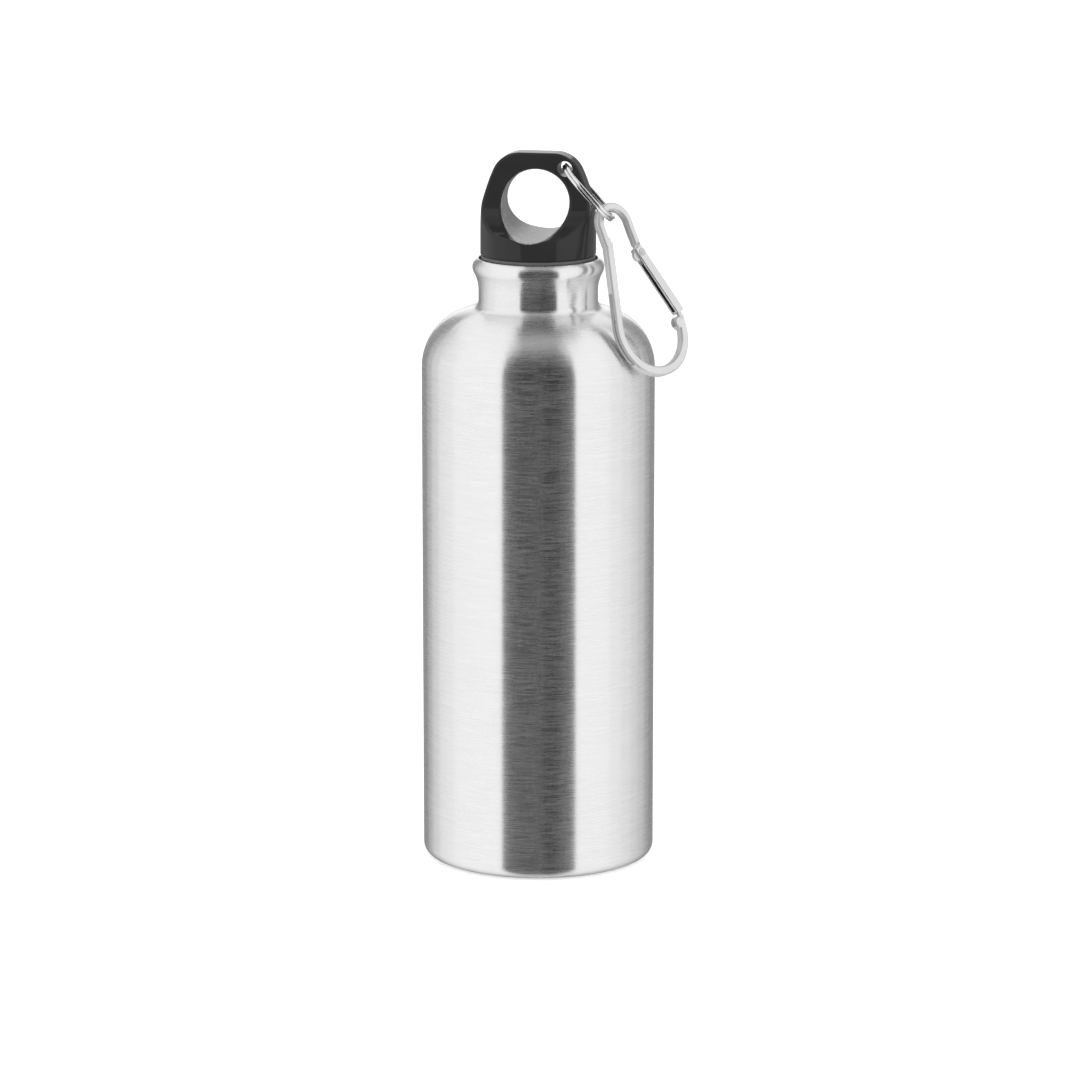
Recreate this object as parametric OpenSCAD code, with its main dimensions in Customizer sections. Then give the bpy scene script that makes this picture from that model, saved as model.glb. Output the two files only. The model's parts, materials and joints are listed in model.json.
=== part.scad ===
// Single-wall steel bottle with a screw cap, a split ring and a snap hook.
// The origin is on the bottle's axis at the level of its foot, and +Z is up.

/* [Bottle] */
// Diameter of the body
body_d = 73; // [72.8:0.1:73.2]
// Height of the straight side, up to where the shoulder starts
side_h = 156.7; // [150:0.1:158]
// Radius of the bend at the foot
foot_bend = 3.5; // [3:0.1:5]
// Thickness of the steel
wall = 0.6; // [0.5:0.1:0.7]
// Width of the flat foot
foot_w = 3; // [2:0.5:5]
// Depth of the recess under the base
recess_h = 2; // [1.5:0.1:4]

/* [Thread] */
// Height gained in one full turn of the cap
pitch = 5; // [4.5:0.5:6]
// Inner radius of the threaded sleeve in the neck
sleeve_r = 17.3; // [17.2:0.05:17.4]
// Outer radius of the cap's plug
plug_r = 15.9; // [15.8:0.05:16]
// How far each thread ridge stands out
ridge_h = 1.05; // [0.8:0.05:1.1]
// Wall of the hollow plug
plug_wall = 2; // [1.5:0.1:2.5]

/* [Cap] */
// Radius of the cap's round base
cap_r = 18.1; // [18:0.05:18.2]
// Height of the cap above its seal
cap_h = 32; // [31.5:0.1:34]
// Thickness of the carrying loop at its top
loop_t = 8; // [7.5:0.1:8.2]
// Radius of the scoop in each face of the loop
scoop_r = 17.6; // [17:0.1:18]
// Radius of the finger hole
finger_r = 10.6; // [10:0.1:10.8]
// Radius of the loop's upper corners
corner_r = 9; // [8:0.5:10]
// Radius of the loop's curved sides
flank_r = 50; // [45:1:60]
// Turn of the cap, anticlockwise from above
cap_turn = -10.8; // [-30:0.1:30]

/* [Split ring] */
// Radius of the eye that holds the ring
eye_r = 2.4; // [2.4:0.05:2.5]
// Mean radius of the ring
ring_r = 10.7; // [10.6:0.05:10.8]
// Width of the wire, measured away from the ring's centre
wire_w = 1.5; // [1.2:0.1:1.5]
// Thickness of one turn of the wire
wire_t = 1; // [0.8:0.05:1]

/* [Snap hook] */
// Outer radius of the wide end
wide_r = 14.6; // [14.4:0.1:14.7]
// Outer radius of the narrow end
narrow_r = 7.2; // [7.1:0.05:7.3]
// Distance between the centres of the two ends
hook_l = 34.6; // [34.4:0.1:34.8]
// Width of the bar
bar_w = 3.1; // [3:0.1:3.2]
// Width of the bar at the narrow end
bow_w = 2.6; // [2.5:0.05:2.7]
// Thickness of the bar
bar_t = 2.7; // [2.6:0.05:2.8]
// Bevel on the bar's edges
bevel = 0.6; // [0.4:0.1:0.7]
// Length of the gate from its pin to its far end
gate_l = 24.6; // [24.4:0.1:24.8]
// Thickness of the gate
gate_t = 2.9; // [2.8:0.05:3]
// Width of the groove along the gate's inner side
groove_w = 1.1; // [0.8:0.1:1.2]
// Radius of the gate's pin
pin_r = 0.8; // [0.7:0.05:0.8]

/* [Hidden] */
$fn = 96;
// Clearance between pieces that pass each other
gap = 0.3;
// Clearance of a pin that turns in its hole
running = 0.06;
// Length by which a cut runs past a face
over = 1;
// Angle by which a bend runs into its neighbours
lap = 0.5;

body_r = body_d / 2;
foot_r = body_r - foot_bend;
recess_r = foot_r - foot_w;
// The shoulder is one arc, a small hollow bend, then the neck
shoulder_r = 18.9;
shoulder_end = 80;
hollow_r = 2.65;
neck_r = 18.68;
neck_z = side_h + 21.25;
// The lip is a round roll above a slow flare
flare_r = 11.7;
flare_z = side_h + 24.25;
flare_turn = 29;
roll_r = 3.37;
roll_end = 62;
// The seal stands on the sleeve and carries the cap
sleeve_top = side_h + 32.9;
seal_z = sleeve_top + 0.1;
seal_h = 2.45;
cap_z = seal_z + seal_h + 0.1;
seal_r = 17.9;
plug_neck_r = plug_r - 0.4;
plug_h = 15.5;
plug_z = cap_z - plug_h;
thread_turns = 1.5;
thread_z = plug_z + 1.6;
thread_steps = 36;
ridge_base = 1.1;
ridge_tip = 0.4;
// The loop's faces stand straight above scoop_z and curve out below it
scoop_z = cap_z + 23.5;
finger_z = cap_z + 16.3;
eye_x = 9;
eye_z = cap_z + 27.2;
eye_edge = 0.5;
// The ring hangs from the eye: how far it drops, and how it leans and slews in the eye
ring_drop = 46;
ring_lean = -8;
ring_slew = -8;
ring_play = -0.4;
wire_edge = 0.2;
// The hook hangs from the ring and leans on the shoulder
hook_at = [23.4, -6.72, 202.1];
hook_turn = [67.3, -5.03, 44.03];
// Hook outline in its own plane, from the centre of its narrow end
wide_c = [0, -hook_l];
bow_r = narrow_r - bow_w / 2;
wide_mid = wide_r - bar_w / 2;
leg_end = [-bow_r, -5.4];
spine_top = [-5.1, -4.8];
knee = [bow_r, -3];
pin_at = [6.3, -10.4];
gate_lean = 20;
nose_at = [12.1, -34.6];
nose_r = 2.1;
// The gate's head straddles the hook's tongue; its far end has a tongue of its own
head_l = 2;
tongue_r = 2.4;
tongue_t = 1.1;
lobe_at = [5.1, -11.1];
lobe_r = 1.7;
gate_bevel = 0.2;
slot_t = 1.5;
slot_l = 3.4;
tip_l = 2.2;
bore_r = 0.75;
bore_l = 9;
plunger_r = 0.65;
plunger_l = 3;
coil_r = 0.45;
coil_wire = 0.12;
coil_turns = 6;
rivet_r = 1.15;
rivet_h = 0.15;

// One point of a profile, at a radius and angle from a centre
function spot(c, r, a) = [c[0] + r * cos(a), c[1] + r * sin(a)];
// Points along an arc from angle a0 to angle a1
function arc(c, r, a0, a1, n = 12) = [for (i = [0:n]) spot(c, r, a0 + (a1 - a0) * i / n)];

// The shell's profile from the foot to the lip, moved inwards by d
function shell_line(d) = concat(
    [[recess_r, d]],
    arc([foot_r, foot_bend], foot_bend - d, -90, 0, 6),
    arc([body_r - shoulder_r, side_h], shoulder_r - d, 0, shoulder_end, 16),
    arc([neck_r + hollow_r, neck_z], hollow_r + d, 180 + shoulder_end, 180, 8),
    arc([neck_r + flare_r, flare_z], flare_r + d, 180, 180 - flare_turn, 6),
    arc([neck_r + flare_r - (flare_r + roll_r) * cos(flare_turn),
         flare_z + (flare_r + roll_r) * sin(flare_turn)], roll_r - d, -flare_turn, roll_end, 12)
);

function reversed(line) = [for (i = [len(line) - 1:-1:0]) line[i]];

// A helical ridge on a cylinder of radius r: out is +1 outwards and -1 inwards
module ridge(r, out, z0, turns, turn0) {
    n = round(turns * thread_steps);
    section = [
        [r - out * gap, -ridge_base], [r + out * ridge_h, -ridge_tip],
        [r + out * ridge_h, ridge_tip], [r - out * gap, ridge_base]
    ];
    k = len(section);
    points = [
        for (i = [0:n], p = section)
            let (a = turn0 + 360 * i / thread_steps)
                [p[0] * cos(a), p[0] * sin(a), z0 + p[1] + pitch * i / thread_steps]
    ];
    sides = [
        for (i = [0:n - 1], j = [0:k - 1], half = [0, 1])
            let (a = i * k + j, b = i * k + (j + 1) % k)
                half == 0 ? [a, b, b + k] : [a, b + k, a + k]
    ];
    first = [for (j = [k - 1:-1:0]) j];
    last = [for (j = [0:k - 1]) n * k + j];
    faces = concat(sides, [first, last]);
    polyhedron(points = points, faces = out > 0 ? faces : [for (f = faces) reversed(f)], convexity = 8);
}

module bottle_shell() {
    color("silver") rotate_extrude() polygon(concat(shell_line(0), reversed(shell_line(wall))));
}

module bottle_base() {
    color("silver") {
        translate([0, 0, recess_h]) cylinder(r = recess_r, h = wall);
        difference() {
            cylinder(r = recess_r, h = recess_h + wall);
            translate([0, 0, -over]) cylinder(r = recess_r - wall, h = recess_h + 2 * wall + over);
        }
    }
}

module neck_sleeve() {
    color("gainsboro") {
        difference() {
            translate([0, 0, neck_z]) cylinder(r = neck_r - wall, h = sleeve_top - neck_z);
            translate([0, 0, neck_z - over]) cylinder(r = sleeve_r, h = sleeve_top - neck_z + 2 * over);
        }
        ridge(sleeve_r, -1, thread_z + pitch / 2, thread_turns, 0);
    }
}

module seal_ring() {
    color("dimgray") translate([0, 0, seal_z]) difference() {
        cylinder(r = seal_r, h = seal_h);
        translate([0, 0, -over]) cylinder(r = plug_neck_r + gap, h = seal_h + 2 * over);
    }
}

// Front outline of the cap, with x across and y up
module cap_outline() {
    side_c = [cap_r - flank_r, 6];
    reach = flank_r - corner_r;
    corner_z = cap_h - corner_r;
    corner_x = side_c[0] + sqrt(reach * reach - pow(corner_z - side_c[1], 2));
    turn = atan2(corner_z - side_c[1], corner_x - side_c[0]);
    half = concat(
        [[cap_r, 0]],
        arc(side_c, flank_r, 0, turn, 10),
        arc([corner_x, corner_z], corner_r, turn, 90, 10)
    );
    polygon(concat(half, [for (p = reversed(half)) [-p[0], p[1]]]));
}

// One face's scoop: the space in front of the loop
module scoop(side) {
    translate([0, side * (loop_t / 2 + scoop_r), scoop_z]) rotate([0, 90, 0])
        cylinder(r = scoop_r, h = 4 * cap_r, center = true);
    translate([-2 * cap_r, side > 0 ? loop_t / 2 : -loop_t / 2 - 2 * cap_r, scoop_z])
        cube([4 * cap_r, 2 * cap_r, cap_h]);
}

module cap_body() {
    color("black") rotate([0, 0, cap_turn]) difference() {
        intersection() {
            translate([0, 2 * cap_r, cap_z]) rotate([90, 0, 0]) linear_extrude(4 * cap_r) cap_outline();
            translate([0, 0, cap_z]) cylinder(r = cap_r, h = cap_h);
        }
        scoop(1);
        scoop(-1);
        translate([0, 0, finger_z]) rotate([90, 0, 0])
            cylinder(r = finger_r, h = 4 * cap_r, center = true);
        translate([eye_x, 0, eye_z]) rotate([90, 0, 0]) {
            cylinder(r = eye_r, h = 4 * cap_r, center = true);
            for (side = [0, 1]) mirror([0, 0, side]) translate([0, 0, loop_t / 2 - eye_edge])
                cylinder(r1 = eye_r, r2 = eye_r + 2 * eye_edge, h = 2 * eye_edge);
        }
    }
}

module cap_plug() {
    color("dimgray") {
        difference() {
            union() {
                translate([0, 0, plug_z]) cylinder(r = plug_neck_r, h = plug_h);
                translate([0, 0, plug_z]) cylinder(r = plug_r, h = seal_z - plug_z - 2 * gap);
            }
            translate([0, 0, plug_z - over]) cylinder(r = plug_r - plug_wall, h = plug_h - plug_wall + over);
        }
        ridge(plug_r, 1, thread_z, thread_turns, 0);
    }
}

// Two turns of wire side by side, with a groove where they meet
module split_ring() {
    w = wire_w / 2;
    e = wire_edge;
    half = [[w, e], [w, wire_t - e], [w - e, wire_t], [e - w, wire_t], [-w, wire_t - e], [-w, e]];
    color("silver") rotate([0, 0, cap_turn]) translate([eye_x, 0, eye_z]) rotate([0, ring_drop, 0])
        translate([ring_play, 0, 0]) rotate([ring_lean, 0, ring_slew]) translate([ring_r, 0, 0])
            rotate_extrude() translate([ring_r, 0]) polygon(concat(
                [[w - e, 0]], half, [[e - w, 0]], [for (p = reversed(half)) [p[0], -p[1]]]
            ));
}

// Section of the hook's bar, with bevelled edges
module bar_section(w, t, edge = bevel) {
    x = w / 2;
    y = t / 2;
    e = min(edge, t / 4);
    polygon([[-x, e - y], [e - x, -y], [x - e, -y], [x, e - y], [x, y - e], [x - e, y], [e - x, y], [-x, y - e]]);
}

// Straight bar in the hook's plane, from point a to point b
module bar(a, b, w, t = bar_t, edge = bevel) {
    d = b - a;
    translate([a[0], a[1], 0]) rotate([0, 0, atan2(d[1], d[0])]) rotate([90, 0, 90])
        linear_extrude(norm(d)) bar_section(w, t, edge);
}

// Bent bar in the hook's plane, round centre c from angle a0 to angle a1
module bend(c, r, w, a0, a1) {
    translate([c[0], c[1], 0]) rotate([0, 0, a0]) rotate_extrude(angle = a1 - a0)
        translate([r, 0]) bar_section(w, bar_t);
}

// Disc in the hook's plane
module disc(c, r, t) {
    translate([c[0], c[1], 0]) cylinder(r = r, h = t, center = true);
}

// Places the hook's plane, with the centre of the narrow end at its origin
module on_hook() {
    translate(hook_at) rotate(hook_turn) children();
}

// Places the gate's own line: the pin at its origin and the gate along -Y
module on_gate() {
    translate([pin_at[0], pin_at[1], 0]) rotate([0, 0, gate_lean]) children();
}

// Angle on the wide end where the spine meets it square to the radius
function spine_turn() =
    let (d = spine_top - wide_c) atan2(d[1], d[0]) + acos(wide_mid / norm(d));

module hook_body() {
    foot = spot(wide_c, wide_mid, spine_turn());
    color("lightgray") on_hook() {
        difference() {
            union() {
                bend([0, 0], bow_r, bow_w, -lap, 180 + lap);
                bar([-bow_r, 0], leg_end, bow_w);
                bar(spine_top, foot, bar_w);
                bend(wide_c, wide_mid, bar_w, spine_turn() - lap, 360 + lap);
                bar(spot(wide_c, wide_mid, 0), [wide_mid, nose_at[1] + nose_r / 2], bar_w);
                disc(nose_at, nose_r, bar_t);
                bar([bow_r, 0], knee, bow_w);
                bar(knee, pin_at, bow_w);
            }
            disc(pin_at, tongue_r + gap + 0.1, 2 * bar_t);
            on_gate() translate([-gate_l, -gate_l - gap, -slot_t / 2])
                cube([gate_l + bar_w / 2 - bevel, gate_l - slot_l, slot_t]);
        }
        difference() {
            union() {
                disc(pin_at, tongue_r, tongue_t);
                disc(lobe_at, lobe_r, tongue_t);
                bar(knee, pin_at, bow_w, tongue_t);
            }
            disc(pin_at, pin_r + running, 2 * bar_t);
        }
    }
}

module hook_gate() {
    shut = gate_l - tip_l;
    color("gainsboro") on_hook() on_gate() difference() {
        union() {
            bar([0, head_l], [0, -shut], bar_w, gate_t, gate_bevel);
            translate([-bar_w / 2 + bevel, -gate_l, -tongue_t / 2])
                cube([bar_w - 2 * bevel - gap, tip_l + over, tongue_t]);
        }
        translate([-bar_w, -shut + over, -groove_w / 2]) cube([bar_w, shut - slot_l, groove_w]);
        translate([-bar_w, -slot_l, -slot_t / 2]) cube([2 * bar_w, slot_l + head_l + over, slot_t]);
        cylinder(r = pin_r, h = 2 * gate_t, center = true);
        translate([0, -slot_l - bore_l, 0]) rotate([-90, 0, 0]) cylinder(r = bore_r, h = bore_l + over);
    }
}

module gate_pin() {
    color("silver") on_hook() on_gate() {
        cylinder(r = pin_r, h = gate_t, center = true);
        for (side = [0, 1]) mirror([0, 0, side]) translate([0, 0, gate_t / 2])
            cylinder(r1 = rivet_r, r2 = pin_r, h = rivet_h);
    }
}

module gate_plunger() {
    color("silver") on_hook() on_gate() translate([0, -tongue_r - gap - plunger_l, 0]) rotate([-90, 0, 0])
        cylinder(r = plunger_r, h = plunger_l);
}

// Round wire wound on the Y axis, from the bore's floor up to the plunger
module gate_spring() {
    top = -tongue_r - gap - plunger_l - coil_wire - 0.05;
    low = -slot_l - bore_l + coil_wire + 0.05;
    steps = 12;
    sides = 6;
    n = coil_turns * steps;
    points = [
        for (i = [0:n], j = [0:sides - 1])
            let (a = 360 * i / steps, b = 360 * j / sides, r = coil_r + coil_wire * cos(b))
                [r * cos(a), low + (top - low) * i / n + coil_wire * sin(b), r * sin(a)]
    ];
    skin = [
        for (i = [0:n - 1], j = [0:sides - 1], half = [0, 1])
            let (a = i * sides + j, b = i * sides + (j + 1) % sides)
                half == 0 ? [a, b + sides, b] : [a, a + sides, b + sides]
    ];
    first = [for (j = [0:sides - 1]) j];
    last = [for (j = [sides - 1:-1:0]) n * sides + j];
    color("silver") on_hook() on_gate()
        polyhedron(points = points, faces = concat(skin, [first, last]), convexity = 8);
}

bottle_shell();
bottle_base();
neck_sleeve();
seal_ring();
cap_body();
cap_plug();
split_ring();
hook_body();
hook_gate();
gate_pin();
gate_spring();
gate_plunger();
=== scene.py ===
import json
import math

import bpy
import numpy as np
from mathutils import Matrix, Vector


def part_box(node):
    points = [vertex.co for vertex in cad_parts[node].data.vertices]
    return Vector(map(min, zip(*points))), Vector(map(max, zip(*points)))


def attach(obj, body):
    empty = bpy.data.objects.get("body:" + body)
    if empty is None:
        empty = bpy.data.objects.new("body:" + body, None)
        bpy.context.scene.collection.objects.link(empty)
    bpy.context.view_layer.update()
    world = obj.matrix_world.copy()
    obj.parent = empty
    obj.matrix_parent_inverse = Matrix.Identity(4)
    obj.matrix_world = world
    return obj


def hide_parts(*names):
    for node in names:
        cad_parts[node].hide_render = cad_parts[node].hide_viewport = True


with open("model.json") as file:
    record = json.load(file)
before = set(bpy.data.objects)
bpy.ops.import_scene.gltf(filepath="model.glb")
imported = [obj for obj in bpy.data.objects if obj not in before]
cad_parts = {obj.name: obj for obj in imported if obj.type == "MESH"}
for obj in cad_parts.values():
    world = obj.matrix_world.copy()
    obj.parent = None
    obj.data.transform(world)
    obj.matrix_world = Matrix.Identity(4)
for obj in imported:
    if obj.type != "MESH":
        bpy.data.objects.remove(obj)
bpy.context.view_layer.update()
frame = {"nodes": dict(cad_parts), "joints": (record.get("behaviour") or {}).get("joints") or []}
MM = 0.001
JOINTS = {j["name"]: j for j in frame["joints"]}
ROUND = 256

# ---------------------------------------------------------------- materials


def new_material(name):
    """A material with its node tree, its nodes' maker and its Principled shader."""
    mat = bpy.data.materials.new(name)
    mat.use_nodes = True
    tree = mat.node_tree
    shader = tree.nodes["Principled BSDF"]

    def add(kind, inputs=None, **settings):
        node = tree.nodes.new(kind)
        for key, value in settings.items():
            setattr(node, key, value)
        for key, value in (inputs or {}).items():
            if isinstance(value, bpy.types.NodeSocket):
                tree.links.new(value, node.inputs[key])
            else:
                node.inputs[key].default_value = value
        return node

    return mat, tree, add, shader


def spread(add, value, low, high, from_low=0.0, from_high=1.0):
    """value from its own range to low and high."""
    inputs = {"Value": value, "From Min": from_low, "From Max": from_high, "To Min": low, "To Max": high}
    return add("ShaderNodeMapRange", inputs).outputs["Result"]


def grey_mix(add, factor, dark, light):
    """A colour between two greys."""
    mix = add("ShaderNodeMix", {"Factor": factor}, data_type="RGBA")
    mix.inputs["A"].default_value = (*dark, 1)
    mix.inputs["B"].default_value = (*light, 1)
    return mix.outputs["Result"]


def noise(add, vector, scale, detail=3.0, rough=0.5):
    """Smooth noise from about 0 to 1."""
    inputs = {"Vector": vector, "Scale": scale, "Detail": detail, "Roughness": rough}
    return add("ShaderNodeTexNoise", inputs).outputs["Fac"]


def brushed_steel(name, colour, rough, line_depth, across=110.0, along=4200.0, shine=0.93, tangent=True):
    """Steel with fine lines that run round the bottle's axis."""
    mat, tree, add, shader = new_material(name)
    place = add("ShaderNodeTexCoord").outputs["Object"]
    part = add("ShaderNodeSeparateXYZ", {"Vector": place}).outputs
    flat = add("ShaderNodeCombineXYZ", {"X": part["X"], "Y": part["Y"]}).outputs["Vector"]
    radius = add("ShaderNodeVectorMath", {0: flat}, operation="LENGTH").outputs["Value"]
    # Distance along the profile, near enough: it grows up the side and over the shoulder
    climb = add("ShaderNodeMath", {0: part["Z"], 1: radius}, operation="SUBTRACT").outputs["Value"]

    def lines(wide, fine):
        step = add("ShaderNodeMath", {0: climb, 1: fine}, operation="MULTIPLY").outputs["Value"]
        x = add("ShaderNodeMath", {0: part["X"], 1: wide}, operation="MULTIPLY").outputs["Value"]
        y = add("ShaderNodeMath", {0: part["Y"], 1: wide}, operation="MULTIPLY").outputs["Value"]
        at = add("ShaderNodeCombineXYZ", {"X": x, "Y": y, "Z": step}).outputs["Vector"]
        return noise(add, at, 1.0, 0.0, 0.5)

    hair = lines(across, along)
    scratch = lines(across * 1.7, along * 2.3)
    grooves = add("ShaderNodeMath", {0: hair, 1: scratch}, operation="ADD").outputs["Value"]
    weave = spread(add, lines(across * 9.0, across * 1.5), -0.04, 0.04, 0.3, 0.7)
    grooves = add("ShaderNodeMath", {0: grooves, 1: weave}, operation="ADD").outputs["Value"]
    cloud = noise(add, place, 38.0, 2.0)
    dark, light = [c * 0.955 for c in colour], [c * 1.03 for c in colour]
    base = grey_mix(add, spread(add, grooves, 0, 1, 0.6, 1.4), dark, light)
    tree.links.new(base, shader.inputs["Base Color"])
    line_gloss = spread(add, grooves, rough - 0.02, rough + 0.02, 0.6, 1.4)
    cloud_gloss = spread(add, cloud, -0.015, 0.015, 0.3, 0.7)
    rougher = add("ShaderNodeMath", {0: line_gloss, 1: cloud_gloss}, operation="ADD")
    tree.links.new(rougher.outputs["Value"], shader.inputs["Roughness"])
    bump = add("ShaderNodeBump", {"Height": grooves, "Strength": 1.0, "Distance": line_depth})
    tree.links.new(bump.outputs["Normal"], shader.inputs["Normal"])
    if tangent:
        around = add("ShaderNodeTangent", direction_type="RADIAL", axis="Z")
        tree.links.new(around.outputs["Tangent"], shader.inputs["Tangent"])
        shader.inputs["Anisotropic"].default_value = 1.0
        shader.inputs["Anisotropic Rotation"].default_value = 0.25
    tree.links.new(spread(add, grooves, 1.0, shine, 0.75, 1.25), shader.inputs["Metallic"])
    return mat


def grained(
    name, dark, light, rough_low, rough_high, grain, depth, metallic=0.0, specular=0.5, blotch=60.0
):
    """A surface with soft blotches of tone and gloss over a fine grain."""
    mat, tree, add, shader = new_material(name)
    place = add("ShaderNodeTexCoord").outputs["Object"]
    cloud = noise(add, place, blotch, 3.0)
    fine = noise(add, place, grain, 3.0, 0.6)
    tone = grey_mix(add, spread(add, cloud, 0, 1, 0.35, 0.65), dark, light)
    tree.links.new(tone, shader.inputs["Base Color"])
    tree.links.new(spread(add, fine, rough_low, rough_high, 0.35, 0.65), shader.inputs["Roughness"])
    bump = add("ShaderNodeBump", {"Height": fine, "Strength": 1.0, "Distance": depth})
    tree.links.new(bump.outputs["Normal"], shader.inputs["Normal"])
    shader.inputs["Metallic"].default_value = metallic
    shader.inputs["Specular IOR Level"].default_value = specular
    return mat


def grey(value):
    return (value, value, value)


STEEL = brushed_steel("steel", grey(0.885), 0.26, 0.0000008)
SLEEVE = brushed_steel("sleeve_steel", grey(0.70), 0.32, 0.000004, tangent=False)
CAP = grained("cap_black", grey(0.021), grey(0.025), 0.08, 0.12, 2400, 0.000001, specular=0.2)
BORE = grained(
    "cap_bore", grey(0.16), grey(0.26), 0.26, 0.36, 1500, 0.000006, specular=1.0, blotch=500.0
)
PLUG = grained("plug_black", grey(0.030), grey(0.040), 0.42, 0.52, 2600, 0.000008)
SEAL = grained("seal", grey(0.10), grey(0.12), 0.50, 0.62, 3200, 0.00001)
CHROME = grained("ring_chrome", grey(0.80), grey(0.86), 0.07, 0.14, 900, 0.000001, 1.0)
HOOK = grained("hook_grey", grey(0.63), grey(0.68), 0.38, 0.48, 5200, 0.000005, 0.4)
# The hook's bevels: painted shade, a darker grey for the dark line their reflection makes between the faces
EDGE = grained("hook_edge_painted_shade", grey(0.50), grey(0.55), 0.30, 0.40, 5200, 0.000003, 0.5)
POLISHED = grained("gate_polished", grey(0.74), grey(0.80), 0.10, 0.17, 1500, 0.000001, 1.0)
# The gate's groove: a near-black colour that paints the shade inside the groove
GROOVE_SHADE = grained("gate_groove_painted_shade", grey(0.05), grey(0.09), 0.45, 0.6, 2600, 0.000004, 0.6)
PIN = grained("pin_steel", grey(0.62), grey(0.70), 0.18, 0.28, 2200, 0.000002, 1.0)

# ---------------------------------------------------------------- meshes


def make_piece(name, body, mats, points, faces, normals=None, face_mats=None, nodes=()):
    """A smooth mesh from points in metres, riding on its body and standing for its CAD nodes."""
    mesh = bpy.data.meshes.new(name)
    mesh.from_pydata(np.asarray(points, float).tolist(), [], [tuple(int(i) for i in f) for f in faces])
    for mat in mats:
        mesh.materials.append(mat)
    mesh.validate()
    mesh.polygons.foreach_set("use_smooth", [True] * len(mesh.polygons))
    if face_mats is not None:
        mesh.polygons.foreach_set("material_index", np.asarray(face_mats, np.int32))
    if normals is not None:
        mesh.normals_split_custom_set_from_vertices(np.asarray(normals, float).tolist())
    mesh.update()
    piece = bpy.data.objects.new(name, mesh)
    bpy.context.scene.collection.objects.link(piece)
    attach(piece, body)
    if nodes:
        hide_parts(*nodes)
    return piece


def arc(cx, cy, r, a0, a1, n):
    """Points along an arc, in degrees."""
    a = np.radians(np.linspace(a0, a1, n + 1))
    return np.c_[cx + r * np.cos(a), cy + r * np.sin(a)]


def filleted(corners, n=5):
    """A closed outline from (x, y, fillet radius) corners."""
    out = []
    for i, (x, y, r) in enumerate(corners):
        here = np.array([x, y], float)
        a = np.array(corners[i - 1][:2], float) - here
        b = np.array(corners[(i + 1) % len(corners)][:2], float) - here
        a, b = a / np.linalg.norm(a), b / np.linalg.norm(b)
        if r <= 0:
            out.append(here)
            continue
        half = math.acos(max(-1, min(1, float(a @ b)))) / 2
        reach = r / math.tan(half)
        middle = here + (a + b) / np.linalg.norm(a + b) * r / math.sin(half)
        start, end = here + a * reach - middle, here + b * reach - middle
        for t in np.linspace(0, 1, n + 1):
            d = start * (1 - t) + end * t
            out.append(middle + d / np.linalg.norm(d) * r)
    return np.array(out)


def densified(line, step):
    """A closed outline with no edge longer than step."""
    out = []
    for a, b in zip(line, np.roll(line, -1, axis=0)):
        n = max(1, math.ceil(np.linalg.norm(b - a) / step))
        out += [a + (b - a) * i / n for i in range(n)]
    return np.array(out)


def outline_normals(line):
    """Normals of a closed outline, where the longer edge at a point counts for more."""
    edge = np.roll(line, -1, axis=0) - line
    out = np.c_[edge[:, 1], -edge[:, 0]]
    summed = out + np.roll(out, 1, axis=0)
    return summed / np.linalg.norm(summed, axis=1)[:, None]


def lathed(name, body, mat, line, node, thread=None, segments=ROUND):
    """Turns a closed (r, z) outline, given anticlockwise, about the bottle's axis.

    thread, if given, says how far a point moves outwards from its angle, height and radius.
    """
    line = np.asarray(line, float)
    n = len(line)
    turn = np.arange(segments) * 2 * math.pi / segments
    r = np.repeat(line[None, :, 0], segments, axis=0)
    z = np.repeat(line[None, :, 1], segments, axis=0)
    side = outline_normals(line)
    if thread is not None:
        r = r + thread(turn[:, None], z, r)
    c, s = np.cos(turn)[:, None], np.sin(turn)[:, None]
    points = np.stack([r * c, r * s, z], axis=2).reshape(-1, 3) * MM
    i, j = np.meshgrid(np.arange(segments), np.arange(n), indexing="ij")
    i2, j2 = (i + 1) % segments, (j + 1) % n
    faces = np.stack([i * n + j, i2 * n + j, i2 * n + j2, i * n + j2], axis=2).reshape(-1, 4)
    normals = None
    if thread is None:
        normals = np.stack([side[:, 0] * c, side[:, 0] * s, side[:, 1] + 0 * c], axis=2).reshape(-1, 3)
    return make_piece(name, body, [mat], points, faces, normals, nodes=[node])


# ---------------------------------------------------------------- fields
# A field is below 0 inside a shape and about the distance to its surface in millimetres outside.


def both(a, b, r):
    """The overlap of two fields, with its edges rounded to radius r."""
    return np.minimum(-r, np.maximum(a, b)) + np.hypot(np.maximum(a + r, 0), np.maximum(b + r, 0))


def to_segment(x, y, a, b):
    """Distance to a straight line from a to b."""
    ax, ay = a
    dx, dy = b[0] - ax, b[1] - ay
    t = np.clip(((x - ax) * dx + (y - ay) * dy) / (dx * dx + dy * dy), 0, 1)
    return np.hypot(x - ax - t * dx, y - ay - t * dy)


def to_arc(x, y, cx, cy, r, a0, a1):
    """Distance to an arc from angle a0 to angle a1, in degrees."""
    mid, half = math.radians((a0 + a1) / 2), math.radians((a1 - a0) / 2)
    turn = (np.arctan2(y - cy, x - cx) - mid + math.pi) % (2 * math.pi) - math.pi
    a = mid + np.clip(turn, -half, half)
    return np.hypot(x - cx - r * np.cos(a), y - cy - r * np.sin(a))


def slope(field, p, h=0.01):
    """The field's gradient, by central differences."""
    out = np.empty_like(p)
    for k in range(3):
        d = np.zeros(3)
        d[k] = h
        out[:, k] = (field(p + d) - field(p - d)) / (2 * h)
    return out


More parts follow.
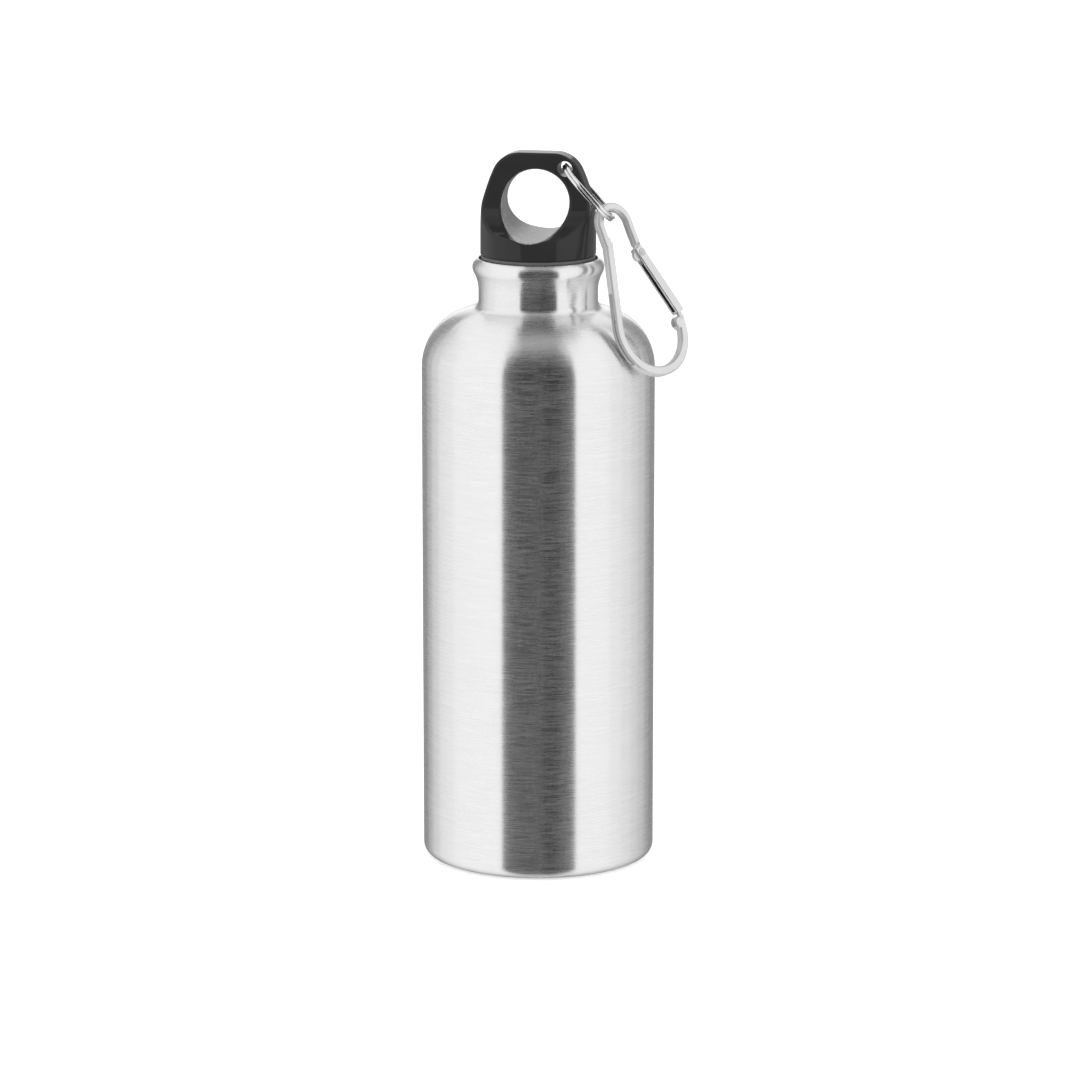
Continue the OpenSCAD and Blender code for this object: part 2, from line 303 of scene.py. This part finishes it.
def field_piece(name, body, mats, node, origin, axes, field, voxel, pick=None):
    """Remeshes the CAD node evenly and moves the points onto the field's surface, in the shape's own axes."""
    rough = bpy.data.objects.new("rough", frame["nodes"][node].data.copy())
    bpy.context.scene.collection.objects.link(rough)
    even = rough.modifiers.new("even", "REMESH")
    even.mode, even.voxel_size, even.adaptivity = "VOXEL", voxel * MM, 0.0
    ready = rough.evaluated_get(bpy.context.evaluated_depsgraph_get())
    mesh = ready.to_mesh()
    points = np.empty(len(mesh.vertices) * 3, np.float64)
    mesh.vertices.foreach_get("co", points)
    faces = [tuple(f.vertices) for f in mesh.polygons]
    ready.to_mesh_clear()
    bpy.data.objects.remove(rough)
    axes = np.asarray(axes, float)
    p = (points.reshape(-1, 3) / MM - origin) @ axes.T
    for _ in range(12):
        f, g = field(p), slope(field, p)
        move = f / np.maximum((g * g).sum(1), 0.05)
        p = p - g * np.clip(move, -voxel, voxel)[:, None]
    g = slope(field, p)
    g /= np.maximum(np.linalg.norm(g, axis=1), 1e-9)[:, None]
    face_mats = None if pick is None else pick(p, g, np.array([f[:3] for f in faces]))
    return make_piece(name, body, mats, (p @ axes + origin) * MM, faces, g @ axes, face_mats, [node])


# ---------------------------------------------------------------- the bottle

BODY_R, WALL, SIDE_H = 36.5, 0.6, 156.7
FOOT_BEND, RECESS_R, RECESS_H = 3.5, 30.0, 2.0
SHOULDER_R, SHOULDER_END, HOLLOW_R, NECK_R = 18.9, 80, 2.65, 18.68
FLARE_R, FLARE_TURN, ROLL_R, ROLL_END = 11.7, 29, 3.37, 57
PITCH, TURNS, RIDGE = 5.0, 1.5, 1.0
# A thread's ridge: its half width, its flank's width, its tapered ends in radians, and its start on the plug
RIDGE_HALF, FLANK_W, RIDGE_TAPER, THREAD_START = 0.92, 0.5, 0.35, 1.6
SLEEVE_R, SEAL_HOLE_R, PLUG_R, PLUG_WALL = 17.3, 15.8, 15.9, 2.0
NEAR_AXIS = 0.02  # radius of the tiny hole that a lathed disc keeps at its centre
THREAD_STEP = 0.16  # longest edge of a threaded outline


def shell_line(d):
    """The shell's profile from the foot to the lip, moved inwards by d."""
    neck_z, flare_z = SIDE_H + 21.25, SIDE_H + 24.25
    reach, lean = FLARE_R + ROLL_R, math.radians(FLARE_TURN)
    roll = (NECK_R + FLARE_R - reach * math.cos(lean), flare_z + reach * math.sin(lean))
    foot_r = BODY_R - FOOT_BEND
    side = np.c_[np.full(24, BODY_R - d), np.linspace(FOOT_BEND + 4, SIDE_H - 3, 24)]
    return np.concatenate([
        [[RECESS_R, d]],
        arc(foot_r, FOOT_BEND, FOOT_BEND - d, -90, 0, 14),
        side,
        arc(BODY_R - SHOULDER_R, SIDE_H, SHOULDER_R - d, 0, SHOULDER_END, 48),
        arc(NECK_R + HOLLOW_R, neck_z, HOLLOW_R + d, 180 + SHOULDER_END, 180, 16),
        arc(NECK_R + FLARE_R, flare_z, FLARE_R + d, 180, 180 - FLARE_TURN, 14),
        arc(*roll, ROLL_R - d, -FLARE_TURN, ROLL_END, 28)[1:],
    ])


def rounded_end(outer, inner, n=6):
    """A half circle that closes a wall from its outer to its inner end."""
    middle, half = (outer + inner) / 2, (outer - inner) / 2
    on = np.array([-half[1], half[0]])
    a = np.linspace(0, math.pi, n + 2)[1:-1, None]
    return middle + half * np.cos(a) + on * np.sin(a)


def make_shell():
    out, back = shell_line(0), shell_line(WALL)[::-1]
    line = np.concatenate([out, rounded_end(out[-1], back[0]), back])
    return lathed("shell", "bottle", STEEL, line, "bottle_shell")


def make_base():
    low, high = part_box("bottle_base")
    r, top = high.x / MM, high.z / MM
    inner = r - WALL
    line = filleted([
        (NEAR_AXIS, RECESS_H, 0), (inner - 6, RECESS_H, 3), (inner - 4.5, RECESS_H + 0.25, 3),
        (inner, RECESS_H + 0.25, 0.3), (inner, low.z / MM, 0.25), (r, low.z / MM, 0.2),
        (r, top, 0.2), (NEAR_AXIS, top, 0),
    ], 6)
    return lathed("base_pan", "bottle", STEEL, line, "bottle_base")


def helix(start_z, out):
    """A ridge's height round a threaded wall, by angle and height, with its ends tapered."""

    def height(turn, z, r):
        best = 0.0
        for lap in range(2):
            a = turn + 2 * math.pi * lap
            off = np.abs(z - start_z - PITCH * a / (2 * math.pi))
            end = TURNS * 2 * math.pi
            taper = np.clip(a / RIDGE_TAPER, 0, 1) * np.clip((end - a) / RIDGE_TAPER, 0, 1)
            rise = np.clip((RIDGE_HALF - off) / FLANK_W, 0, 1)
            best = np.maximum(best, taper * rise * rise * (3 - 2 * rise))
        return out * RIDGE * best

    return height


def make_sleeve():
    low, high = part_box("neck_sleeve")
    z0, z1, outer, inner = low.z / MM, high.z / MM, high.x / MM, SLEEVE_R
    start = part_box("cap_plug")[0].z / MM + THREAD_START + PITCH / 2
    corners = [(inner, z0, 0.2), (outer, z0, 0.2), (outer, z1, 0.2), (inner, z1, 0.2)]
    line = densified(filleted(corners), THREAD_STEP)
    ridge = helix(start, -1)
    return lathed(
        "neck_sleeve_rolled", "bottle", SLEEVE, line, "neck_sleeve",
        lambda turn, z, r: np.where(r < inner + 0.05, ridge(turn, z, r), 0.0),
    )


def make_seal():
    low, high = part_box("seal_ring")
    r, z0, z1, inner = high.x / MM, low.z / MM, high.z / MM, SEAL_HOLE_R
    middle = (z0 + z1) / 2
    line = filleted([
        (inner, z0, 0.3), (r, z0, 0.45), (r, middle - 0.25, 0.1), (r - 0.12, middle, 0.1),
        (r, middle + 0.25, 0.1), (r, z1, 0.45), (inner, z1, 0.3),
    ])
    return lathed("seal", "seal", SEAL, line, "seal_ring")


def make_plug():
    low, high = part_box("cap_plug")
    z0, z1, r, wall = low.z / MM, high.z / MM, PLUG_R, PLUG_WALL
    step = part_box("seal_ring")[0].z / MM - 0.6
    line = filleted([
        (NEAR_AXIS, z1 - wall, 0), (r - wall, z1 - wall, 1.2), (r - wall, z0, 0.4), (r, z0, 0.5),
        (r, step, 0.2), (r - 0.4, step, 0.15), (r - 0.4, z1, 0), (NEAR_AXIS, z1, 0),
    ], 6)
    ridge = helix(z0 + THREAD_START, 1)
    return lathed(
        "plug", "cap", PLUG, densified(line, THREAD_STEP), "cap_plug",
        lambda turn, z, rr: np.where(rr > r - 0.05, ridge(turn, z, rr), 0.0),
    )


# ---------------------------------------------------------------- the cap

CAP_R, CAP_H, LOOP_T, SCOOP_R, SCOOP_Z = 18.1, 32.0, 8.0, 17.6, 23.5
FINGER_R, FINGER_Z, EYE_R, EYE_X, EYE_Z = 10.6, 16.3, 2.4, 9.0, 27.2
CORNER_R, FLANK_R, FLANK_Z = 9.0, 50.0, 6.0
LOOP_EDGE, BASE_EDGE, FOOT_EDGE, FINGER_EDGE, EYE_EDGE = 0.9, 0.7, 0.35, 0.9, 0.45  # radii of the edges
CAP_VOXEL = 0.3


def cap_outline(x, z):
    """The cap's front outline: straight sides, long curved flanks and round upper corners."""
    x = np.abs(x)
    flank_x, corner_z = CAP_R - FLANK_R, CAP_H - CORNER_R
    corner_x = flank_x + math.sqrt((FLANK_R - CORNER_R) ** 2 - (corner_z - FLANK_Z) ** 2)
    start = math.atan2(corner_z - FLANK_Z, corner_x - flank_x)
    side = np.hypot(x - flank_x, np.maximum(z - FLANK_Z, 0)) - FLANK_R
    turn = np.arctan2(z - corner_z, x - corner_x)
    round_corner = np.hypot(x - corner_x, z - corner_z) - CORNER_R
    return np.where((turn > start) & (turn < math.pi / 2), round_corner, np.maximum(side, z - CAP_H))


def cap_field(p):
    x, y, z = p.T
    away = np.abs(y) - LOOP_T / 2
    curve = SCOOP_R - np.hypot(away - SCOOP_R, z - SCOOP_Z)
    loop = np.where(z > SCOOP_Z, away, curve)
    solid = both(cap_outline(x, z), loop, LOOP_EDGE)
    solid = both(solid, np.hypot(x, y) - CAP_R, BASE_EDGE)
    solid = both(solid, -z, FOOT_EDGE)
    solid = both(solid, FINGER_R - np.hypot(x, z - FINGER_Z), FINGER_EDGE)
    return both(solid, EYE_R - np.hypot(x - EYE_X, z - EYE_Z), EYE_EDGE)


def in_bore(p, g, faces):
    """Marks the finger hole's wall, which is given a lighter colour and a satin gloss."""
    x, _, z = p[faces].mean(1).T
    return (np.abs(np.hypot(x, z - FINGER_Z) - FINGER_R) < 0.2).astype(int)


def make_cap():
    across = -Vector(JOINTS["ring_swing"]["axis"])
    x_axis = np.array([across.y, -across.x, 0.0])
    axes = [x_axis, np.array(across), [0, 0, 1]]
    origin = np.array([0, 0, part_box("cap_body")[0].z / MM])
    return field_piece(
        "cap", "cap", [CAP, BORE], "cap_body", origin, axes, cap_field, CAP_VOXEL, in_bore
    )


# ---------------------------------------------------------------- the split ring

RING_R, WIRE_W, WIRE_T = 10.7, 1.5, 1.0
# Where the wire starts and how far it runs round, and how long its crossing is, in degrees
WIRE_START, WIRE_RUN, WIRE_CROSS, WIRE_STEPS = 205.0, 700.0, 45.0, 560
WIRE_GAP = 0.985  # keeps the two turns just apart


def make_ring():
    """One wire of two turns, side by side, crossing from one side to the other at the back."""
    low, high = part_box("split_ring")
    centre = np.array((low + high) / 2) / MM
    cloud = np.array([v.co for v in frame["nodes"]["split_ring"].data.vertices]) / MM - centre
    normal = np.linalg.svd(cloud, full_matrices=False)[2][2]
    t = -np.array(JOINTS["hook_swing"]["axis"])
    out = np.cross(t, normal)
    eye = np.array(JOINTS["ring_swing"]["pos_m"]) / MM
    if (eye - centre) @ out > 0:
        out, normal = -out, -normal
    section = filleted([
        (-WIRE_W / 2, -WIRE_T / 2, 0.3), (WIRE_W / 2, -WIRE_T / 2, 0.3),
        (WIRE_W / 2, WIRE_T / 2, 0.3), (-WIRE_W / 2, WIRE_T / 2, 0.3),
    ], 4)
    section[:, 1] *= WIRE_GAP
    first, last, steps = WIRE_START, WIRE_START + WIRE_RUN, WIRE_STEPS
    turn = np.linspace(first, last, steps)
    middle = (first + last) / 2
    shift = np.clip((turn - middle) / WIRE_CROSS, -0.5, 0.5)
    shift = 0.5 * WIRE_T * np.sin(shift * math.pi)
    grid = []
    for a, s in zip(np.radians(turn), shift):
        radial = out * math.cos(a) + t * math.sin(a)
        for w, h in section:
            grid.append(centre + radial * (RING_R + w) + normal * (h + s))
    n = len(section)
    faces = [
        (i * n + j, i * n + (j + 1) % n, (i + 1) * n + (j + 1) % n, (i + 1) * n + j)
        for i in range(steps - 1) for j in range(n)
    ]
    faces += [tuple(range(n - 1, -1, -1)), tuple((steps - 1) * n + j for j in range(n))]
    points = np.array(grid) * MM
    return make_piece("ring_wire", "ring", [CHROME], points, faces, nodes=["split_ring"])


# ---------------------------------------------------------------- the snap hook

HOOK_L, BAR_W, BOW_W, BAR_T = 34.6, 3.1, 2.6, 2.7
BOW_R, WIDE_MID = 5.9, 13.05
PIN_AT, GATE_LEAN, NOSE_AT, NOSE_R = (6.3, -10.4), 20.0, (12.1, -34.6), 2.1
LEG_END, SPINE_TOP, KNEE = (-5.9, -5.4), (-5.1, -4.8), (5.9, -3.0)
TONGUE_R, TONGUE_T, SLOT_T, SLOT_L, TIP_L = 2.4, 1.1, 1.5, 3.4, 2.2
LOBE_AT, LOBE_R, GATE_T, GROOVE_W = (5.1, -11.1), 1.7, 2.9, 1.1
GATE_L, HEAD_L, PIN_R = 24.6, 2.0, 0.8
HOOK_BEVEL, GATE_BEVEL, PIN_GAP, SHARP = 0.55, 0.18, 0.06, 0.05  # SHARP is a barely broken edge
HOOK_VOXEL, GATE_VOXEL = 0.18, 0.14
# The rivet's shank radius, head radius and the height of its head over the gate's face
SHANK_R, RIVET_R, RIVET_RISE = 0.79, 1.15, 0.15


def hook_axes():
    """The hook's origin at the centre of its narrow end, and its axes: across, up and out of its face."""
    gate = JOINTS["gate_open"]
    pin = np.array(gate["pos_m"]) / MM
    face = -np.array(gate["axis"])
    face /= np.linalg.norm(face)
    low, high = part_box("gate_plunger")
    along = np.array((low + high) / 2) / MM - pin
    gate_up = -along / np.linalg.norm(along)
    gate_across = np.cross(gate_up, face)
    lean = math.radians(GATE_LEAN)
    up = math.cos(lean) * gate_up + math.sin(lean) * gate_across
    across = np.cross(up, face)
    origin = pin - across * PIN_AT[0] - up * PIN_AT[1]
    return origin, np.array([across, up, face]), pin, np.array([gate_across, gate_up, face])


def on_gate(x, y):
    """Points of the hook's plane, in the gate's own axes."""
    lean = math.radians(GATE_LEAN)
    dx, dy = x - PIN_AT[0], y - PIN_AT[1]
    return dx * math.cos(lean) + dy * math.sin(lean), dy * math.cos(lean) - dx * math.sin(lean)


def plate(flat, z, thick, bevel, soft):
    """A flat shape's field made thick, with bevelled edges."""
    face = np.abs(z) - thick / 2
    slant = (flat + face + bevel) * math.sqrt(0.5)
    return both(both(flat, face, SHARP), slant, soft)


def hook_field(p):
    x, y, z = p.T
    spine = math.atan2(SPINE_TOP[1] + HOOK_L, SPINE_TOP[0])
    spine += math.acos(WIDE_MID / math.hypot(SPINE_TOP[0], SPINE_TOP[1] + HOOK_L))
    foot = (WIDE_MID * math.cos(spine), WIDE_MID * math.sin(spine) - HOOK_L)
    half, slim = BAR_W / 2, BOW_W / 2
    bow = np.minimum(to_arc(x, y, 0, 0, BOW_R, 0, 180), to_segment(x, y, (-BOW_R, 0), LEG_END)) - slim
    wide = to_arc(x, y, 0, -HOOK_L, WIDE_MID, math.degrees(spine), 360)
    wide = np.minimum(wide, to_segment(x, y, SPINE_TOP, foot)) - half
    tip = np.abs(x - WIDE_MID) - half
    tip = np.maximum(tip, np.abs(y + HOOK_L) - NOSE_R / 2)
    nose = np.hypot(x - NOSE_AT[0], y - NOSE_AT[1]) - NOSE_R
    arm = np.minimum(to_segment(x, y, (BOW_R, 0), KNEE), to_segment(x, y, KNEE, PIN_AT)) - slim
    from_pin = np.hypot(x - PIN_AT[0], y - PIN_AT[1])
    bar = np.minimum(np.minimum(bow, arm), np.minimum(np.minimum(wide, tip), nose))
    bar = np.maximum(bar, TONGUE_R + 0.4 - from_pin)
    solid = plate(bar, z, BAR_T, HOOK_BEVEL, SHARP)
    gx, gy = on_gate(x, y)
    slot = np.maximum(np.abs(z) - SLOT_T / 2, np.maximum(gx - (half - 0.6), -(gy + GATE_L + 0.3)))
    slot = np.maximum(slot, gy + SLOT_L)
    solid = both(solid, -slot, SHARP)
    lobe = np.hypot(x - LOBE_AT[0], y - LOBE_AT[1]) - LOBE_R
    tongue = np.minimum(from_pin - TONGUE_R, to_segment(x, y, KNEE, PIN_AT) - slim)
    tongue = np.maximum(np.minimum(tongue, lobe), y - KNEE[1])
    tongue = both(tongue, np.abs(z) - TONGUE_T / 2, 0.12)
    tongue = both(tongue, PIN_R + PIN_GAP - from_pin, SHARP)
    return np.minimum(solid, tongue)


def gate_field(p):
    x, y, z = p.T
    shut = GATE_L - TIP_L
    flat = both(np.abs(x) - BAR_W / 2, np.abs(y - (HEAD_L - shut) / 2) - (HEAD_L + shut) / 2, 0.45)
    bar = plate(flat, z, GATE_T, GATE_BEVEL, SHARP)
    bar = both(bar, -np.maximum(np.abs(z) - SLOT_T / 2, -(y + SLOT_L)), 0.08)
    groove = np.maximum(np.abs(z) - GROOVE_W / 2, np.maximum(x, 1.0 - shut - y))
    bar = both(bar, -groove, 0.08)
    end = both(np.abs(x + 0.15) - (BAR_W / 2 - 0.75), np.abs(z) - TONGUE_T / 2, 0.12)
    end = both(end, np.abs(y + GATE_L - TIP_L / 2 - 0.5) - TIP_L / 2 - 0.5, 0.2)
    return np.minimum(bar, end)


def bevelled(p, g, faces):
    """The hook's bevels, which are cut through its matte finish and a little glossier, and painted darker as
    shade for the dark line along the edges.
    """
    lift = np.abs(g[faces].mean(1)[:, 2])
    return ((lift > 0.5) & (lift < 0.88)).astype(int)


def polished_side(p, g, faces):
    """The gate's inner side is polished, its groove is painted near-black as shade, and the rest is matte."""
    normal = g[faces].mean(1)
    middle = p[faces].mean(1)
    x, y, z = middle.T
    deep = (np.abs(z) < GROOVE_W / 2 + 0.03) & (y < -1.0) & (y > 1.0 - GATE_L + TIP_L)
    # Faces deep in the groove take the painted-shade material
    return np.where(deep & (x < 0.9), 2, (normal[:, 0] < -0.55).astype(int))


def make_pin(pin, axes):
    """The rivet: two low heads, each with a dimple, on a plain shank."""
    half, r, head, rise = GATE_T / 2, SHANK_R, RIVET_R, RIVET_RISE
    side = [
        (0.02, half + 0.02), (0.3, half + 0.02), (0.5, half + rise * 0.9), (0.75, half + rise),
        (1.0, half + rise * 0.6), (head, half), (r, half - 0.02),
    ]
    line = np.array([*[(a, -b) for a, b in side], *side[::-1]])
    n, segments = len(line), 40
    turn = np.arange(segments) * 2 * math.pi / segments
    points = [
        pin + axes.T @ np.array([a * math.cos(t), a * math.sin(t), b]) for t in turn for a, b in line
    ]
    faces = [
        (i * n + j, (i + 1) % segments * n + j, (i + 1) % segments * n + (j + 1) % n, i * n + (j + 1) % n)
        for i in range(segments) for j in range(n)
    ]
    points = np.array(points) * MM
    return make_piece("rivet", "gate", [PIN], points, faces, nodes=["gate_pin"])


def make_hook():
    origin, axes, pin, gate_axes = hook_axes()
    field_piece(
        "hook", "hook", [HOOK, EDGE], "hook_body",
        origin, axes, hook_field, HOOK_VOXEL, bevelled,
    )
    field_piece(
        "gate", "gate", [HOOK, POLISHED, GROOVE_SHADE], "hook_gate",
        pin, gate_axes, gate_field, GATE_VOXEL, polished_side,
    )
    make_pin(pin, gate_axes)


# ---------------------------------------------------------------- studio


def glow(name, strength):
    """A plain white glowing surface for the studio."""
    mat = bpy.data.materials.new(name)
    mat.use_nodes = True
    tree = mat.node_tree
    tree.nodes.clear()
    out = tree.nodes.new("ShaderNodeOutputMaterial")
    light = tree.nodes.new("ShaderNodeEmission")
    light.inputs["Color"].default_value = (1, 1, 1, 1)
    light.inputs["Strength"].default_value = strength
    tree.links.new(light.outputs["Emission"], out.inputs["Surface"])
    return mat


def hang(name, mesh, mat):
    """Place a card's mesh in the studio, hidden from everything but reflections."""
    mesh.materials.append(mat)
    obj = bpy.data.objects.new(name, mesh)
    bpy.context.scene.collection.objects.link(obj)
    obj.visible_camera = obj.visible_diffuse = obj.visible_shadow = False
    obj.visible_transmission = obj.visible_volume_scatter = False


# The studio, in metres: the cards' distances from the bottle, the roof's height and the floor's radius
FRONT_FAR, BACK_FAR, BACK_LOW, ROOF_Z, FLOOR_R, FLOOR_Z = 1.3, 1.4, -6.0, 1.25, 6.0, -0.0002
# Angle from, angle to, bottom, top, brightness
FRONT_CARDS = [
    (-36, 5, -5.0, -0.1, 0.118), (5, 22, -5.0, -0.1, 0.070),
    (22, 37, -5.0, -0.1, 0.118), (-35, 36, -0.1, 1.25, 0.010),
]
# From and to across, from and to front to back, brightness
ROOF_CARDS = [
    (-0.6, 0.6, -1.25, -0.75, 0.05), (-0.3, 0.35, -0.75, 0.0, 0.55), (-0.22, 0.42, 0.0, 0.45, 0.02),
]
# Angle from, angle to, top, brightness
BACK_CARDS = [
    (-104, -92, 1.2, 0.92), (-116, -104, 1.2, 0.88), (-130, -116, 1.2, 0.72), (-142, -130, 1.1, 0.50),
    (-165, -142, 0.9, 0.28), (165, 195, 0.15, 0.30), (142, 165, 0.9, 0.28), (130, 142, 1.1, 0.42),
    (116, 130, 1.2, 0.62), (104, 116, 1.2, 0.74), (90, 104, 1.2, 0.84), (75, 90, 1.2, 0.92),
]


def card(name, turn0, turn1, radius, z0, z1, mat):
    """A curved card round the object, seen only in its reflections. Angle 0 is the front."""
    a = np.radians(np.linspace(turn0, turn1, 33))
    points = [(radius * math.sin(t), -radius * math.cos(t), z) for t in a for z in (z0, z1)]
    faces = [(2 * i, 2 * i + 2, 2 * i + 3, 2 * i + 1) for i in range(32)]
    mesh = bpy.data.meshes.new(name)
    mesh.from_pydata(points, [], faces)
    hang(name, mesh, mat)


def roof_card(name, x0, x1, y0, y1, mat):
    """A flat card over the object, seen only in its reflections."""
    mesh = bpy.data.meshes.new(name)
    corners = [(x, y, ROOF_Z) for x, y in ((x0, y0), (x1, y0), (x1, y1), (x0, y1))]
    mesh.from_pydata(corners, [], [(0, 1, 2, 3)])
    hang(name, mesh, mat)


def soft_light(name, at, aim, wide, tall, power):
    """A large rectangular lamp that faces a point."""
    data = bpy.data.lights.new(name, "AREA")
    data.shape, data.size, data.size_y, data.energy = "RECTANGLE", wide, tall, power
    lamp = bpy.data.objects.new(name, data)
    lamp.location = at
    lamp.rotation_euler = (Vector(aim) - Vector(at)).to_track_quat("-Z", "Y").to_euler()
    bpy.context.scene.collection.objects.link(lamp)
    return lamp


def make_studio():
    scene = bpy.context.scene
    scene.view_settings.view_transform = "Standard"
    world = bpy.data.worlds.new("studio")
    world.use_nodes = True
    world.node_tree.nodes["Background"].inputs["Color"].default_value = (1, 1, 1, 1)
    world.node_tree.nodes["Background"].inputs["Strength"].default_value = 1.0
    scene.world = world
    floor = bpy.data.meshes.new("floor")
    turn = np.linspace(0, 2 * math.pi, 64, endpoint=False)
    ring = [(FLOOR_R * math.cos(t), FLOOR_R * math.sin(t), FLOOR_Z) for t in turn]
    floor.from_pydata(ring, [], [tuple(range(64))])
    mat, _, _, shader = new_material("floor")
    shader.inputs["Base Color"].default_value = (0.86, 0.86, 0.86, 1)
    shader.inputs["Roughness"].default_value = 0.9
    shader.inputs["Specular IOR Level"].default_value = 0.1
    shader.inputs["Emission Color"].default_value = (1, 1, 1, 1)
    shader.inputs["Emission Strength"].default_value = 0.4
    floor.materials.append(mat)
    floor_obj = bpy.data.objects.new("floor", floor)
    scene.collection.objects.link(floor_obj)
    floor_obj.visible_glossy = False
    # The front of the room: the dark band down the bottle, with its deeper strip and head
    for i, (turn0, turn1, z0, z1, strength) in enumerate(FRONT_CARDS):
        card(f"front_card_{i}", turn0, turn1, FRONT_FAR, z0, z1, glow(f"front_{i}", strength))
    # The sides and the back, which shade the bottle's edges
    for i, (turn0, turn1, z1, strength) in enumerate(BACK_CARDS):
        card(f"back_card_{i}", turn0, turn1, BACK_FAR, BACK_LOW, z1, glow(f"back_{i}", strength))
    # The roof, which shades the shoulder
    for i, (x0, x1, y0, y1, strength) in enumerate(ROOF_CARDS):
        roof_card(f"roof_card_{i}", x0, x1, y0, y1, glow(f"roof_{i}", strength))
    for name, x in (("left_box", -1.0), ("right_box", 1.0)):
        soft_light(name, (x, -0.75, 0.5), (0, 0, 0.12), 0.7, 1.1, 2.9).visible_glossy = False


# The camera's place in metres, its downward tilt in degrees and its lens in millimetres
CAMERA_AT, CAMERA_TILT, LENS, SENSOR = (0.00053, -1.5, 0.4176), 11.914, 162.053333, 36.0


def make_camera():
    data = bpy.data.cameras.new("camera")
    data.sensor_width = SENSOR
    data.lens = LENS
    data.clip_start, data.clip_end = 0.05, 50
    cam = bpy.data.objects.new("camera", data)
    cam.location = CAMERA_AT
    cam.rotation_euler = (math.radians(90 - CAMERA_TILT), 0, 0)
    bpy.context.scene.collection.objects.link(cam)
    bpy.context.scene.camera = cam


def dress_hidden():
    """The spring and plunger are inside the gate, and keep their CAD shapes."""
    for name in ("gate_spring", "gate_plunger"):
        node = frame["nodes"][name]
        node.data.materials.clear()
        node.data.materials.append(PIN)


make_shell()
make_base()
make_sleeve()
make_seal()
make_plug()
make_cap()
make_ring()
make_hook()
dress_hidden()
make_studio()
make_camera()
